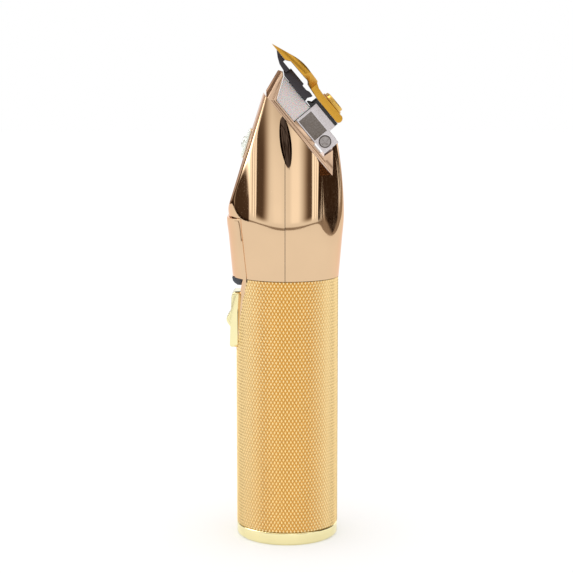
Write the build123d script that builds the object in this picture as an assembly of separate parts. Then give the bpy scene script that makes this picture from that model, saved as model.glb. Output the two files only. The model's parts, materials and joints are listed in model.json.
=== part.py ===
"""Cordless hair clipper with a knurled metal grip, a faceted bright head and an exposed T-blade.

Row frame, in millimetres: +Z runs up the grip, the origin is the centre of the end cap's foot,
-Y is the thumb side with the slide switch, and the cutter strokes along X.
"""

from build123d import *
from math import cos, radians, sin, sqrt, tan
import os

# ---- Grip -----------------------------------------------------------------------------------
GRIP_R = 16.0  # outside of the knurled grip and of the end cap
GRIP_WALL = 1.4
CAP_H = 4.0  # visible height of the end cap
CAP_EDGE, GRIP_EDGE = 0.3, 0.2  # chamfers either side of the joint between cap and grip
CAP_JOINT = 0.15  # gap of that joint
CAP_SPIGOT = 6.0  # how far the cap reaches up inside the grip
GRIP_TOP = 82.7  # where the grip stops under the head
GRIP_BORE = GRIP_R - GRIP_WALL
GAP = 0.1  # assembly gap between separate pieces
SOCKET_R, SOCKET_PIN_R, SOCKET_PIN_LOW = 2.4, 0.825, 2.0  # charging socket for a 4.0 x 1.7 mm plug
SOCKET_SLEEVE_R, PIN_TAIL_R = 2.9, 0.5
PAD_R, PAD_X = 0.8, 4.4  # dock pads either side of the socket

# ---- Head -----------------------------------------------------------------------------------
HEAD_BASE = 82.9
HEAD_WALL = 1.3
SEAM_Y = -0.67  # plane where the front and rear shells meet
BAND_BASE_R = 16.15
BAND_TOP_R, BAND_TOP_Z = 17.3, 95.5
CHIN_R, CHIN_Z = 18.75, 103.5  # foot of the front facet
BACK_R, BACK_Z = 17.75, 100.0  # widest point of the back
BACK_SWEEP = 140.0  # radius of the back's long curve
PANEL_TILT = 9.5  # side panels lean in by this angle
PANEL_R, PANEL_X, PANEL_Z = 19.5, 17.6, 98.2  # side panel: cross radius and its lowest point
FRONT_TILT, FRONT_R = 17.5, 45.0  # front facet: lean and cross radius
FRONT_BEVEL = ((11.6, -12.85, 104.5), (0.682, -0.721, 0.117))  # point and normal of the corner bevels
BACK_BEVEL = ((14.1, 10.5, 96.0), (0.579, 0.811, 0.087))
SCOOP_Y, SCOOP_Z, SCOOP_LEAN = -0.5, 125.2, 7.2  # leaf-shaped scoop across each side seam
SCOOP_HALF_W, SCOOP_HALF_H, SCOOP_DEPTH = 1.75, 8.5, 1.35
NOTCH_Y, NOTCH_Z = 13.9, 114.4  # rear end of the sloping notch that seats the blade unit
LIP_TOP = 125.0  # top of the rear lip behind the blade unit
CLEAR, CLEAR_Z = 40.0, 175.0  # half-width and height that are well outside the whole clipper

# ---- Blade unit -----------------------------------------------------------------------------
BLADE_ANGLE = 50.0  # slope of the blade below the horizontal
TIP_Y, TIP_Z = -4.56, 154.3  # cutting edge of the fixed blade
BLADE_HALF_W = 20.0
TANG_HALF_W = 12.0
UNIT_HALF_W = 11.8  # tray, carrier and bracket
TOOTH_PITCH, TOOTH_GAP, TOOTH_DEPTH = 1.2, 0.6, 2.9
CUTTER_HALF_W = 16.2
CUTTER_TRAVEL = 1.3
NOTCH_T = -11.5  # height of the notch's floor in the blade frame
SCREW_S, SCREW_X, SCREW_R = 25.6, 6.2, 1.2  # blade screws in the blade frame
CLEAR_HOLE_R = 1.3  # their clearance holes
EAR_S, EAR_T, EAR_SINK = 32.6, -6.5, 0.35  # ear screws in the blade frame, and how deep their heads sit
BRACKET_TOP, BLADE_SEAT = -1.2, -0.1  # top of the bracket and underside of the blade's tang

# ---- Drive ----------------------------------------------------------------------------------
MOTOR_R, MOTOR_BASE, MOTOR_TOP = 10.2, 79.0, 109.0
MOTOR_SCREW_R, MOTOR_SCREW_X = 0.8, 8.0
LOWER_BUSH_R, UPPER_BUSH_R = 2.05, 3.05
SHAFT_R = 1.0
SHAFT_TOP = 126.0
CAM_THROW, CAM_PIN_R = 1.3, 0.8
ROLLER_R, ROLLER_Z = 2.2, 131.6

# ---- Switch ---------------------------------------------------------------------------------
TONGUE_TOP, TONGUE_FOOT = 101.5, 59.3
TONGUE_HALF_W, TONGUE_NARROW, TONGUE_BEND_Z = 10.2, 4.2, 63.5
TONGUE_BACK_Y, TONGUE_FRONT_Y = -12.6, -18.62
TONGUE_PROUD = 0.95  # how far the tongue stands off the head's band
PLATE_TOP_Y, PLATE_FOOT_Y = -17.35, -17.95
PLATE_LOW, PLATE_HIGH, PLATE_HALF_W = 60.6, 78.2, 4.6
SLIDER_FACE_Y = -17.2  # front of the slider's foot, in the plate's pocket
SLIDER_LOW, SLIDER_HIGH, SLIDER_HALF_W = 64.3, 72.7, 3.2
SLIDER_MIDDLE = (SLIDER_LOW + SLIDER_HIGH) / 2
SLIDER_TRAVEL = 4.0

# ---- Cell and board -------------------------------------------------------------------------
CELL_R, CELL_BASE, CELL_TOP = 9.1, 16.0, 66.0
BOARD_Y, BOARD_T = -10.9, 1.0
BOARD_FACE = BOARD_Y - BOARD_T / 2  # its front face

# The blade frame: local x is X, local y (s) runs from the cutting edge to the rear,
# and local z (t) points out of the blade's face.
BLADE = Plane(
    origin=(0, TIP_Y, TIP_Z),
    x_dir=(1, 0, 0),
    z_dir=(0, sin(radians(BLADE_ANGLE)), cos(radians(BLADE_ANGLE))),
)


# ---- Helpers --------------------------------------------------------------------------------
def rod(radius, z_low, z_high, x=0.0, y=0.0):
    """An upright cylinder between two heights."""
    return Pos(x, y, (z_low + z_high) / 2) * Cylinder(radius, z_high - z_low)


def tube(outer, inner, z_low, z_high):
    return rod(outer, z_low, z_high) - rod(inner, z_low - 1, z_high + 1)


def block(x_low, x_high, y_low, y_high, z_low, z_high):
    """A box between two corners."""
    size = (x_high - x_low, y_high - y_low, z_high - z_low)
    middle = ((x_low + x_high) / 2, (y_low + y_high) / 2, (z_low + z_high) / 2)
    return Pos(*middle) * Box(*size)


def slab(points, half_w, x=0.0):
    """A side profile of (y, z) points, extruded along X to both sides of x."""
    face = make_face(Plane.YZ * Polyline(*points, close=True))
    return Pos(x, 0, 0) * extrude(face, half_w, both=True)


def mirrored(shape):
    """The shape on both sides of the middle plane."""
    return [shape, shape.mirror(Plane.YZ)]


def half_space(point, normal, size=120.0):
    """A big block on the side of a plane that its normal points to."""
    return Plane(origin=point, z_dir=normal) * Pos(0, 0, size / 2) * Box(size, size, size)


def in_blade_frame(shape):
    return BLADE.location * shape


# ---- Head -----------------------------------------------------------------------------------
def trumpet(inset):
    """The head's turned form: a flared band that opens into the chin."""
    flare_r, flare_z = 17.9, 99.6
    rim_r, rim_z, top_z = 20.6, 109.5, 150.0
    base = (BAND_BASE_R - inset, HEAD_BASE)
    band = (BAND_TOP_R - inset, BAND_TOP_Z)
    chin = (CHIN_R - inset, CHIN_Z)
    rim = (rim_r - inset, rim_z)
    outline = Line(base, band) + ThreePointArc(band, (flare_r - inset, flare_z), chin) + Line(chin, rim)
    outline += Polyline(rim, (rim[0], top_z), (0, top_z), (0, HEAD_BASE), base)
    return revolve(make_face(Plane.XZ * outline), Axis.Z)


def back_form(inset):
    """The back's turned form, which curves gently in above its widest point."""
    low, high = (BACK_R - inset, HEAD_BASE - 5), (BACK_R - inset, BACK_Z)
    top_rise = 40.0
    middle, end = [
        (high[0] - (BACK_SWEEP - sqrt(BACK_SWEEP**2 - rise**2)), BACK_Z + rise)
        for rise in (top_rise / 2, top_rise)
    ]
    arc = ThreePointArc(high, middle, end)
    outline = Line(low, high) + arc + Polyline(end, (0, end[1]), (0, low[1]), low)
    return revolve(make_face(Plane.XZ * outline), Axis.Z)


def side_panels(inset):
    """Two leaning round bars whose outer sides are the head's side panels."""
    lean = radians(PANEL_TILT)
    axis_dir = (-sin(lean), 0, cos(lean))
    reach = PANEL_R + inset
    foot = (PANEL_X - reach * cos(lean), 0, PANEL_Z - reach * sin(lean))
    bar = Plane(origin=foot, z_dir=axis_dir) * Cylinder(PANEL_R, 160)
    right, left = mirrored(bar)
    return right & left


def front_face(inset):
    """A round bar that leans back, whose front side is the front facet."""
    lean = radians(FRONT_TILT)
    reach = FRONT_R + inset
    foot = (0, -CHIN_R + reach * cos(lean), CHIN_Z - reach * sin(lean))
    return Plane(origin=foot, z_dir=(0, sin(lean), cos(lean))) * Cylinder(FRONT_R, 240)


def bevels(inset, point, normal):
    """The material outside a corner bevel, on both sides."""
    length = sqrt(sum(n * n for n in normal))
    moved = tuple(p - inset * n / length for p, n in zip(point, normal))
    right, left = mirrored(half_space(moved, normal))
    return right + left


def head_form(inset):
    """Front and rear halves of the head's outer form, each moved in by inset."""
    body = trumpet(inset) & side_panels(inset)
    front = body & front_face(inset)
    front -= bevels(inset, *FRONT_BEVEL)
    front &= half_space((0, SEAM_Y, 110), (0, -1, 0))
    rear = body & back_form(inset)
    rear -= bevels(inset, *BACK_BEVEL)
    rear &= half_space((0, SEAM_Y, 110), (0, 1, 0))
    return front, rear


def notch(drop):
    """The sloping notch for the blade unit, with its upright rear wall, lowered by drop."""
    slope = tan(radians(BLADE_ANGLE))
    floor_z = NOTCH_Z - drop / cos(radians(BLADE_ANGLE))
    reach = 40.0
    profile = [
        (NOTCH_Y - reach, floor_z + reach * slope),
        (NOTCH_Y, floor_z),
        (NOTCH_Y, CLEAR_Z),
        (NOTCH_Y - reach, CLEAR_Z),
    ]
    return slab(profile, CLEAR)


def lip_cut():
    """What is above the rear lip."""
    return block(-CLEAR, CLEAR, NOTCH_Y - 0.1, CLEAR, LIP_TOP, CLEAR_Z)


def scoops(grow):
    """A leaf-shaped scoop across each side seam, grown by a margin: a spindle laid along the panel."""
    lean, turn = radians(PANEL_TILT), radians(SCOOP_LEAN)
    panel_x = PANEL_X - (SCOOP_Z - PANEL_Z) * tan(lean)
    belly = (SCOOP_HALF_W**2 / SCOOP_DEPTH + SCOOP_DEPTH) / 2  # the spindle's largest radius
    sweep_r = (SCOOP_HALF_H**2 / SCOOP_DEPTH + SCOOP_DEPTH) / 2  # radius of its long curve
    half_length = sqrt(2 * sweep_r * belly - belly**2)
    side = ThreePointArc((0, -half_length), (belly + grow, 0), (0, half_length))
    spindle = revolve(make_face(Plane.XZ * (side + Line((0, half_length), (0, -half_length)))), Axis.Z)
    along = Vector(-sin(lean) * cos(turn), -sin(turn), cos(lean) * cos(turn))
    centre_x = panel_x + (belly - SCOOP_DEPTH) * cos(lean)
    place = Plane(origin=(centre_x, SCOOP_Y, SCOOP_Z), x_dir=(cos(lean), 0, sin(lean)), z_dir=along)
    right, left = mirrored(place * spindle)
    return right + left


def tongue_outline(clearance):
    """The switch housing's outline seen from the front: straight up the head, tapering down the grip."""
    wide, narrow = TONGUE_HALF_W + clearance, TONGUE_NARROW + clearance
    foot, top = TONGUE_FOOT - clearance, TONGUE_TOP + clearance
    right, left = (narrow, TONGUE_BEND_Z), (-narrow, TONGUE_BEND_Z)
    sides = Polyline(right, (wide, HEAD_BASE), (wide, top), (-wide, top), (-wide, HEAD_BASE), left)
    arc = ThreePointArc(left, (0, foot), right)
    return extrude(make_face(Plane.XZ * (sides + arc)), 30)


def head_shells():
    """The two head shells: hollow, notched for the blade unit and open for the switch housing."""
    half_w, opening_front, opening_rear, deep = 8.5, 13.5, 31.0, 3.0
    opening = block(-half_w, half_w, opening_front, opening_rear, NOTCH_T - deep, NOTCH_T + deep)
    opening = in_blade_frame(opening)
    lip_floor = 112.0  # the lip is solid from here up
    lip = block(-CLEAR, CLEAR, NOTCH_Y - HEAD_WALL, CLEAR, lip_floor, CLEAR_Z)
    halves = []
    for outer, inner in zip(head_form(0), head_form(HEAD_WALL)):
        cavity = inner - notch(HEAD_WALL) - lip - scoops(HEAD_WALL)
        shell = outer - cavity - notch(0) - opening - scoops(0)
        halves.append(shell - rod(GRIP_BORE, HEAD_BASE - 1, HEAD_BASE + 3))
    front, rear = halves
    front -= tongue_outline(GAP)
    front -= block(-CLEAR, CLEAR, SEAM_Y - 0.04, CLEAR, 0, CLEAR_Z)
    rear -= lip_cut()
    return largest(front), largest(rear)


def largest(shape):
    return max(shape.solids(), key=lambda s: s.volume)


# ---- Grip and base --------------------------------------------------------------------------
def turned_ring(outline):
    """A ring turned about the Z axis from (radius, z) points."""
    return revolve(make_face(Plane.XZ * Polyline(*outline, close=True)), Axis.Z)


def barrel():
    low = CAP_H + CAP_JOINT
    outline = [
        (GRIP_BORE, low),
        (GRIP_R - GRIP_EDGE, low),
        (GRIP_R, low + GRIP_EDGE),
        (GRIP_R, GRIP_TOP - GRIP_EDGE),
        (GRIP_R - GRIP_EDGE, GRIP_TOP),
        (GRIP_BORE, GRIP_TOP),
    ]
    return turned_ring(outline) - tongue_outline(GAP)


def end_cap():
    """The polished foot cap: a floor with a bore for the plug and a spigot up into the grip."""
    foot_edge, bore, floor_t = 0.7, 6.05, 3.0
    spigot_r, spigot_wall = GRIP_BORE - 0.05, 1.55
    groove_depth, groove_low, groove_h = 0.7, 3.0, 1.2
    outline = [
        (bore, 0),
        (GRIP_R - foot_edge, 0),
        (GRIP_R, foot_edge),
        (GRIP_R, CAP_H - CAP_EDGE),
        (GRIP_R - CAP_EDGE, CAP_H),
        (spigot_r, CAP_H),
        (spigot_r, CAP_H + CAP_SPIGOT),
        (spigot_r - spigot_wall, CAP_H + CAP_SPIGOT),
        (spigot_r - spigot_wall, floor_t),
        (bore, floor_t),
    ]
    groove_low += CAP_H
    groove = tube(GRIP_R, spigot_r - groove_depth, groove_low, groove_low + groove_h)
    return turned_ring(outline) - groove


def cap_insert():
    """The dark plug in the cap that carries the charging socket and the dock pads."""
    plug_r, flange_r, through = 6.0, 8.5, CAP_H + 10
    plug = rod(plug_r, 0.25, CAP_H + 5.5) + rod(flange_r, CAP_H - 0.9, CAP_H + 0.6)
    plug -= rod(SOCKET_SLEEVE_R + 0.05, -1, through)
    for x in (-PAD_X, PAD_X):
        plug -= rod(PAD_R + 0.05, -1, through, x=x)
    return plug


def charge_socket():
    sleeve = rod(SOCKET_SLEEVE_R, 0.45, CAP_H + 7.0) - rod(SOCKET_R, -1, CAP_H + 5.0)
    return sleeve - rod(PIN_TAIL_R + 0.05, CAP_H + 4, CAP_H + 8)


def socket_pin():
    """The socket's centre pin, on a thinner tail that passes through the socket's floor."""
    pin = rod(SOCKET_PIN_R, SOCKET_PIN_LOW, CAP_H + 4.9) + Pos(0, 0, SOCKET_PIN_LOW) * Sphere(SOCKET_PIN_R)
    return pin + rod(PIN_TAIL_R, CAP_H + 4, CAP_H + 8)


def dock_pads():
    return [rod(PAD_R, 0.15, CAP_H + 6.5, x=x) for x in (-PAD_X, PAD_X)]


def o_ring():
    section_r, height = 0.35, 3.6
    return Pos(0, 0, CAP_H + height) * Torus(GRIP_BORE - section_r - 0.03, section_r)


# ---- Cell, board and indicator --------------------------------------------------------------
def battery_cell():
    button_r, button_h = 3.2, 1.2
    return rod(CELL_R, CELL_BASE, CELL_TOP) + rod(button_r, CELL_TOP, CELL_TOP + button_h)


def cell_wrap():
    return tube(CELL_R + 0.45, CELL_R + 0.05, CELL_BASE + 1, CELL_TOP - 1)


def cell_cradle():
    """The half-round cradle that centres the cell in the grip and carries the board on its front."""
    outer, inner, front_y = CELL_R + 2.0, CELL_R + 0.55, -7.2
    rail_in, rail_out, rail_front = 6.9, 8.2, -12.0
    groove_in, groove_out, groove_half = 5.5, 8.5, 0.55 + GAP
    rib_t, rib_rear, floor_low = 1.6, 2.0, CELL_BASE - 4.8
    open_front = block(-20, 20, -20, front_y, 0, CELL_TOP + 10)
    cradle = tube(outer, inner, CELL_BASE - 0.4, CELL_TOP + 4.5) - open_front
    for x in (-1, 1):
        low, high = sorted((rail_in * x, rail_out * x))
        cradle += block(low, high, rail_front, front_y - 1, CELL_BASE, CELL_TOP)
    for z in (CELL_BASE + 4, CELL_TOP - 6):
        rib = tube(GRIP_BORE - 0.15, outer - 0.1, z, z + rib_t)
        cradle += rib - block(-20, 20, -20, rib_rear, 0, 90)
    for x in (-1, 1):
        low, high = sorted((groove_in * x, groove_out * x))
        cradle -= block(low, high, BOARD_Y - groove_half, BOARD_Y + groove_half, 0, 90)
    cradle += tube(outer, inner, floor_low, CELL_BASE) - open_front
    floor = rod(outer - 0.1, floor_low, floor_low + 1.18) - rod(1.3, 0, CELL_BASE)
    return largest(cradle + (floor - open_front))


def cell_spring():
    """The coiled negative contact under the cell, as a short conical helix."""
    pitch, height, radius, wire = 0.95, 2.3, 4.0, 0.3  # wire is the wire's radius
    path = Helix(pitch, height, radius, center=(0, 0, CELL_BASE - height - wire - 0.02), cone_angle=-20)
    start = path @ 0
    section = Plane(origin=start, z_dir=path % 0) * Circle(wire)
    return sweep(section, path=path)


def contact_disc():
    disc_r, hole_r, thick = 6.2, 0.95, 0.45
    low = CELL_BASE - 3.6
    return rod(disc_r, low, low + thick) - rod(hole_r, low - 1, low + 2)


def circuit_board():
    half_w, top = 6.7, 86.0
    return block(-half_w, half_w, BOARD_FACE, BOARD_FACE + BOARD_T, CELL_BASE + 2, top)


def board_parts():
    """The charge controller, inductor and connectors on the board's front face."""
    chips = [(0.0, 24.0, 5.0, 5.0), (-3.2, 34.0, 3.0, 4.0), (2.6, 33.0, 4.0, 4.0), (0.0, 46.0, 6.0, 3.0)]
    near, far = BOARD_FACE - 1.1, BOARD_FACE - 0.02
    return [block(x - w / 2, x + w / 2, near, far, z - h / 2, z + h / 2) for x, z, w, h in chips]


def toggle_switch():
    """The electrical slide switch on the board, with a slot for the slider's stem."""
    half_w, slot_half_w, end, slot_end = 3.0, 1.1, 1.2, 1.4
    low, high = SLIDER_LOW - end, SLIDER_HIGH + SLIDER_TRAVEL + end
    body = block(-half_w, half_w, TONGUE_BACK_Y + 0.1, BOARD_FACE - 0.02, low, high)
    low, high = SLIDER_MIDDLE - slot_end, SLIDER_MIDDLE + SLIDER_TRAVEL + slot_end
    return body - block(-slot_half_w, slot_half_w, -20, BOARD_FACE - 0.25, low, high)


def status_led():
    half_w, low, high = 1.2, 80.6, 82.0
    return block(-half_w, half_w, BOARD_FACE - 0.75, BOARD_FACE - 0.02, low, high)


def indicator_lens():
    """The lit window between the head's edge and the switch, with a light pipe back to the LED."""
    top, half_w, pipe_half_w = HEAD_BASE - 0.12, 4.0, 1.3
    window = [(-17.15, top), (-16.9, 81.6), (-16.3, 80.9), (-15.4, 80.3), (-13.5, 80.2), (-13.5, top)]
    pipe = block(-pipe_half_w, pipe_half_w, -14.5, TONGUE_BACK_Y + 0.25, 80.3, 82.3)
    return (slab(window, half_w) & tongue_face()) + pipe


# ---- Switch ---------------------------------------------------------------------------------
def tongue_face():
    """Everything in front of the tongue's hollowed face, between its foot and the head's edge."""
    foot, crest, top = (-16.2, 60.0), (-15.5, 71.5), (-13.7, HEAD_BASE)
    far_y, low = -30.0, 50.0
    outline = ThreePointArc(foot, crest, top)
    outline += Polyline(top, (far_y, HEAD_BASE), (far_y, low), (foot[0], low), foot)
    return extrude(make_face(Plane.YZ * outline), 30, both=True)


def stem_slot():
    """The slot through the plate and the tongue that the slider's stem moves in."""
    half_w, end_room = 1.5, 1.8
    low, high = SLIDER_MIDDLE - end_room, SLIDER_MIDDLE + SLIDER_TRAVEL + end_room
    return block(-half_w, half_w, -20, -10, low, high)


def switch_housing():
    """The bright tongue that runs from the head's chin down over the grip and carries the switch."""
    outline = tongue_outline(0)
    lower = outline & rod(GRIP_R + 0.05, 50, HEAD_BASE)
    upper = outline & trumpet(-TONGUE_PROUD) & block(-20, 20, TONGUE_FRONT_Y, 0, HEAD_BASE, 120)
    body = (lower + upper) & block(-20, 20, -30, TONGUE_BACK_Y, 50, 120)
    body -= tongue_face()
    body -= stem_slot()
    body -= block(-1.4, 1.4, -20, -10, 80.2, 82.4)
    low, high, half_w = HEAD_BASE + 3, TONGUE_TOP - HEAD_WALL, TONGUE_HALF_W - HEAD_WALL
    pocket = block(-half_w, half_w, -30, 0, low, high)
    return largest(body - (rod(BAND_BASE_R - HEAD_WALL, low, high) & pocket))


def switch_plate():
    """The pale plate on the tongue's face, with a pocket that guides the slider."""
    corner_r, back_y = 1.2, -13.0
    profile = [
        (PLATE_FOOT_Y + 0.4, PLATE_LOW),
        (PLATE_FOOT_Y, PLATE_LOW + 0.8),
        (PLATE_TOP_Y, PLATE_HIGH - 1.4),
        (PLATE_TOP_Y + 0.4, PLATE_HIGH - 0.6),
        (PLATE_TOP_Y + 1.1, PLATE_HIGH),
        (back_y, PLATE_HIGH),
        (back_y, PLATE_LOW),
    ]
    body = slab(profile, PLATE_HALF_W)
    body = fillet(body.edges().filter_by(Axis.Y), corner_r)
    body = (body & tongue_face()) + (body - rod(GRIP_R + GAP, 50, 90))
    low, high = SLIDER_LOW - GAP, SLIDER_HIGH + SLIDER_TRAVEL + GAP
    half_w = SLIDER_HALF_W + GAP
    body -= block(-half_w, half_w, -25, SLIDER_FACE_Y + 0.75, low, high)
    return largest(body - stem_slot())


def switch_slider():
    """The thumb slider: a flat foot in the pocket with a raised, finely grooved ridge across it."""
    face, foot_t, groove_r = SLIDER_FACE_Y, 0.65, 0.2
    foot = block(-SLIDER_HALF_W, SLIDER_HALF_W, face, face + foot_t, SLIDER_LOW, SLIDER_HIGH)
    brow, nose = (-17.5, 72.2), (-18.85, 70.0)
    ridge = [
        (face, 72.4),
        brow,
        nose,
        (-19.0, 69.4),
        (-18.9, 68.8),
        (-18.5, 68.0),
        (-17.75, 67.0),
        (-17.6, 65.5),
        (face, 65.0),
    ]
    body = foot + slab(ridge, SLIDER_HALF_W)
    for share in (0.25, 0.5, 0.75):
        y, z = (a + (b - a) * share for a, b in zip(brow, nose))
        body -= Pos(0, y, z) * Rotation(0, 90, 0) * Cylinder(groove_r, 8)
    return body


def slider_stem():
    """The stem that carries the slider's push through the plate and tongue into the toggle."""
    half_w, half_h = 0.9, 1.2
    low, high = SLIDER_MIDDLE - half_h, SLIDER_MIDDLE + half_h
    return block(-half_w, half_w, SLIDER_FACE_Y + 0.66, BOARD_FACE - 0.35, low, high)


# ---- Motor and cam --------------------------------------------------------------------------
def motor_can():
    can = rod(MOTOR_R, MOTOR_BASE + 3, MOTOR_TOP) - rod(MOTOR_R - 0.9, MOTOR_BASE + 2, MOTOR_TOP - 1.0)
    can -= rod(UPPER_BUSH_R, MOTOR_TOP - 3, MOTOR_TOP + 1)
    for x in (-MOTOR_SCREW_X, MOTOR_SCREW_X):
        can -= rod(MOTOR_SCREW_R + 0.02, MOTOR_TOP - 3, MOTOR_TOP + 1, x=x)
    return can


def motor_end_bell():
    bell = rod(MOTOR_R, MOTOR_BASE, MOTOR_BASE + 2.95)
    bell -= rod(MOTOR_R - 1.4, MOTOR_BASE + 1.2, MOTOR_BASE + 4)
    return bell - rod(LOWER_BUSH_R, MOTOR_BASE - 1, MOTOR_BASE + 4)


def motor_stator():
    """Laminated stator with six teeth, seen as one ring."""
    low, high = MOTOR_BASE + 6, MOTOR_TOP - 5
    ring = tube(MOTOR_R - 1.0, MOTOR_R - 2.6, low, high)
    tooth_r, half_w = 5.9, 1.3
    for i in range(6):
        ring += Rotation(0, 0, 60 * i) * block(tooth_r, MOTOR_R - 2.5, -half_w, half_w, low, high)
    return ring


def motor_windings():
    """One copper coil beside each stator tooth."""
    low, high = MOTOR_BASE + 5, MOTOR_TOP - 4
    coil_r, half_w = 6.6, 1.6
    coil = block(coil_r, MOTOR_R - 3.0, -half_w, half_w, low, high)
    return [Rotation(0, 0, 60 * i + 30) * coil for i in range(6)]


def bush(z_low, z_high, outer):
    return tube(outer, SHAFT_R + 0.03, z_low, z_high)


def motor_mount():
    """The chassis disc that bolts to the motor's face and centres it in the head."""
    low, high = MOTOR_TOP + 0.02, MOTOR_TOP + 2.2
    disc_r, bore, flat_x, flat_y = 12.6, 3.6, 12.0, -12.2
    post_in, post_out, post_front, post_rear, post_h = 9.6, 11.4, 2.0, 8.5, 3.5
    disc = rod(disc_r, low, high) - rod(bore, low - 1, high + 1)
    for x in (-MOTOR_SCREW_X, MOTOR_SCREW_X):
        disc -= rod(MOTOR_SCREW_R + 0.25, low - 1, high + 1, x=x)
    disc &= block(-flat_x, flat_x, flat_y, disc_r, low, high)
    for x in (-1, 1):
        near, far = sorted((x * post_in, x * post_out))
        disc += block(near, far, post_front, post_rear, high, high + post_h)
    return disc


def motor_screws():
    """The two screws that hold the motor's face to the mount, with cross-slotted heads."""
    head_r, head_low, head_top, slot_floor = 1.7, MOTOR_TOP + 2.22, MOTOR_TOP + 3.6, MOTOR_TOP + 3.1
    arm, half_slot = 1.3, 0.2
    screws = []
    for x in (-MOTOR_SCREW_X, MOTOR_SCREW_X):
        shank = rod(MOTOR_SCREW_R, MOTOR_TOP - 2.6, MOTOR_TOP + 2.3, x=x)
        head = rod(head_r, head_low, head_top, x=x)
        slot = block(x - arm, x + arm, -half_slot, half_slot, slot_floor, head_top + 1)
        cross = block(x - half_slot, x + half_slot, -arm, arm, slot_floor, head_top + 1)
        screws.append(shank + head - slot - cross)
    return screws


def motor_shaft():
    return rod(SHAFT_R, MOTOR_BASE + 0.4, SHAFT_TOP)


def rotor_magnet():
    return tube(5.3, SHAFT_R, MOTOR_BASE + 6.5, MOTOR_TOP - 5.5)


def eccentric_cam():
    """The cam on the shaft's end: a hub, a half-round counterweight and the offset boss for the pin."""
    low, hub_r, boss_r, boss_h = 118.0, 3.0, 2.2, 1.2
    weight_r, weight_t, weight_edge = 6.0, 2.4, 1.0
    hub = tube(hub_r, SHAFT_R, low, SHAFT_TOP)
    weight = rod(weight_r, low, low + weight_t) & block(-10, weight_edge, -10, 10, low, low + weight_t)
    boss = rod(boss_r, SHAFT_TOP, SHAFT_TOP + boss_h, x=CAM_THROW) + rod(hub_r, SHAFT_TOP - 0.5, SHAFT_TOP)
    body = hub + (weight - rod(SHAFT_R, low - 1, low + 4)) + boss
    body -= rod(CAM_PIN_R, SHAFT_TOP - 2.0, SHAFT_TOP + 3, x=CAM_THROW)
    return body - rod(SHAFT_R, low - 1, SHAFT_TOP)


def cam_pin():
    return rod(CAM_PIN_R, SHAFT_TOP + 0.02, ROLLER_Z + 2.3, x=CAM_THROW)


def cam_roller():
    """The crowned roller on the pin, which drives the yoke."""
    ball = Pos(CAM_THROW, 0, ROLLER_Z) * Sphere(ROLLER_R)
    ball &= block(-10, 10, -10, 10, ROLLER_Z - 1.7, ROLLER_Z + 1.7)
    return ball - rod(CAM_PIN_R, ROLLER_Z - 5, ROLLER_Z + 5, x=CAM_THROW)


def coupling_ring():
    """The spigot ring that joins the grip to the head from inside."""
    low, high, front_y = 74.0, 85.5, -9.4
    ring = tube(GRIP_BORE - 0.05, MOTOR_R + 0.3, low, high)
    return ring - block(-20, 20, -20, front_y, low - 4, high + 4)


def neck_gasket():
    ring = tube(GRIP_R - 0.15, GRIP_BORE + 0.05, GRIP_TOP + 0.02, HEAD_BASE - 0.02)
    return ring - tongue_outline(GAP)


def motor_leads():
    """Two short insulated leads from the board up to the motor's end bell."""
    route = [(3.0, -9.9, 67.6), (3.0, -8.6, 70.2), (4.0, -6.0, 73.6), (4.0, -5.6, 76.4), (4.0, -5.6, 78.9)]
    bend_r, lead_r = 1.4, 0.55
    leads = []
    for side in (-1, 1):
        path = FilletPolyline(*[(side * x, y, z) for x, y, z in route], radius=bend_r)
        section = Plane(origin=path @ 0, z_dir=path % 0) * Circle(lead_r)
        leads.append(sweep(section, path=path))
    return leads


# ---- Blade unit, in the blade frame ---------------------------------------------------------
def blade_tray():
    """The bright tray that closes the notch: a floor strip, an upright nose and a rear wedge."""
    floor_t, rim_t = -9.9, -9.2
    nose_foot, nose_top, nose_back = (9.4, -10.3), (7.1, -3.6), (8.3, -2.85)
    seat_top, seat_foot = (9.5, -3.55), (13.8, floor_t)
    ear_foot, ear_top = (35.75, floor_t), (36.15, -6.2)
    tail, heel = (42.0, -11.35), (11.0, NOTCH_T + 0.02)
    profile = [nose_foot, nose_top, nose_back, seat_top, seat_foot, ear_foot, ear_top, tail, heel]
    body = slab(profile, UNIT_HALF_W)
    rim_in, line_depth = 10.3, 0.2
    nose_line = [(9.15, -2.0), (9.45, -2.0), (12.9, -10.35), (12.6, -10.35)]
    for x in (-1, 1):
        low, high = sorted((x * rim_in, x * UNIT_HALF_W))
        body += block(low, high, 22.2, 31.2, floor_t - 0.5, rim_t)
        corner = (x * UNIT_HALF_W, nose_top[0] + 1.35, nose_top[1])
        body -= half_space(corner, (x * 0.537, -0.844, -0.34))
        low, high = sorted((x * (UNIT_HALF_W - line_depth), x * (UNIT_HALF_W + 1)))
        body -= slab(nose_line, 3 * line_depth, x=x * (UNIT_HALF_W + 2 * line_depth))
        body -= block(low, high, 13.2, 37.5, -10.5, -10.3)
    opening_half_w, opening_front, opening_rear = 8.5, 14.4, 30.0
    body -= block(-opening_half_w, opening_half_w, opening_front, opening_rear, -20, 0)
    tray = in_blade_frame(body)
    return largest(tray - block(-CLEAR, CLEAR, NOTCH_Y - 0.05, 60, 100, 150))


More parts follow.
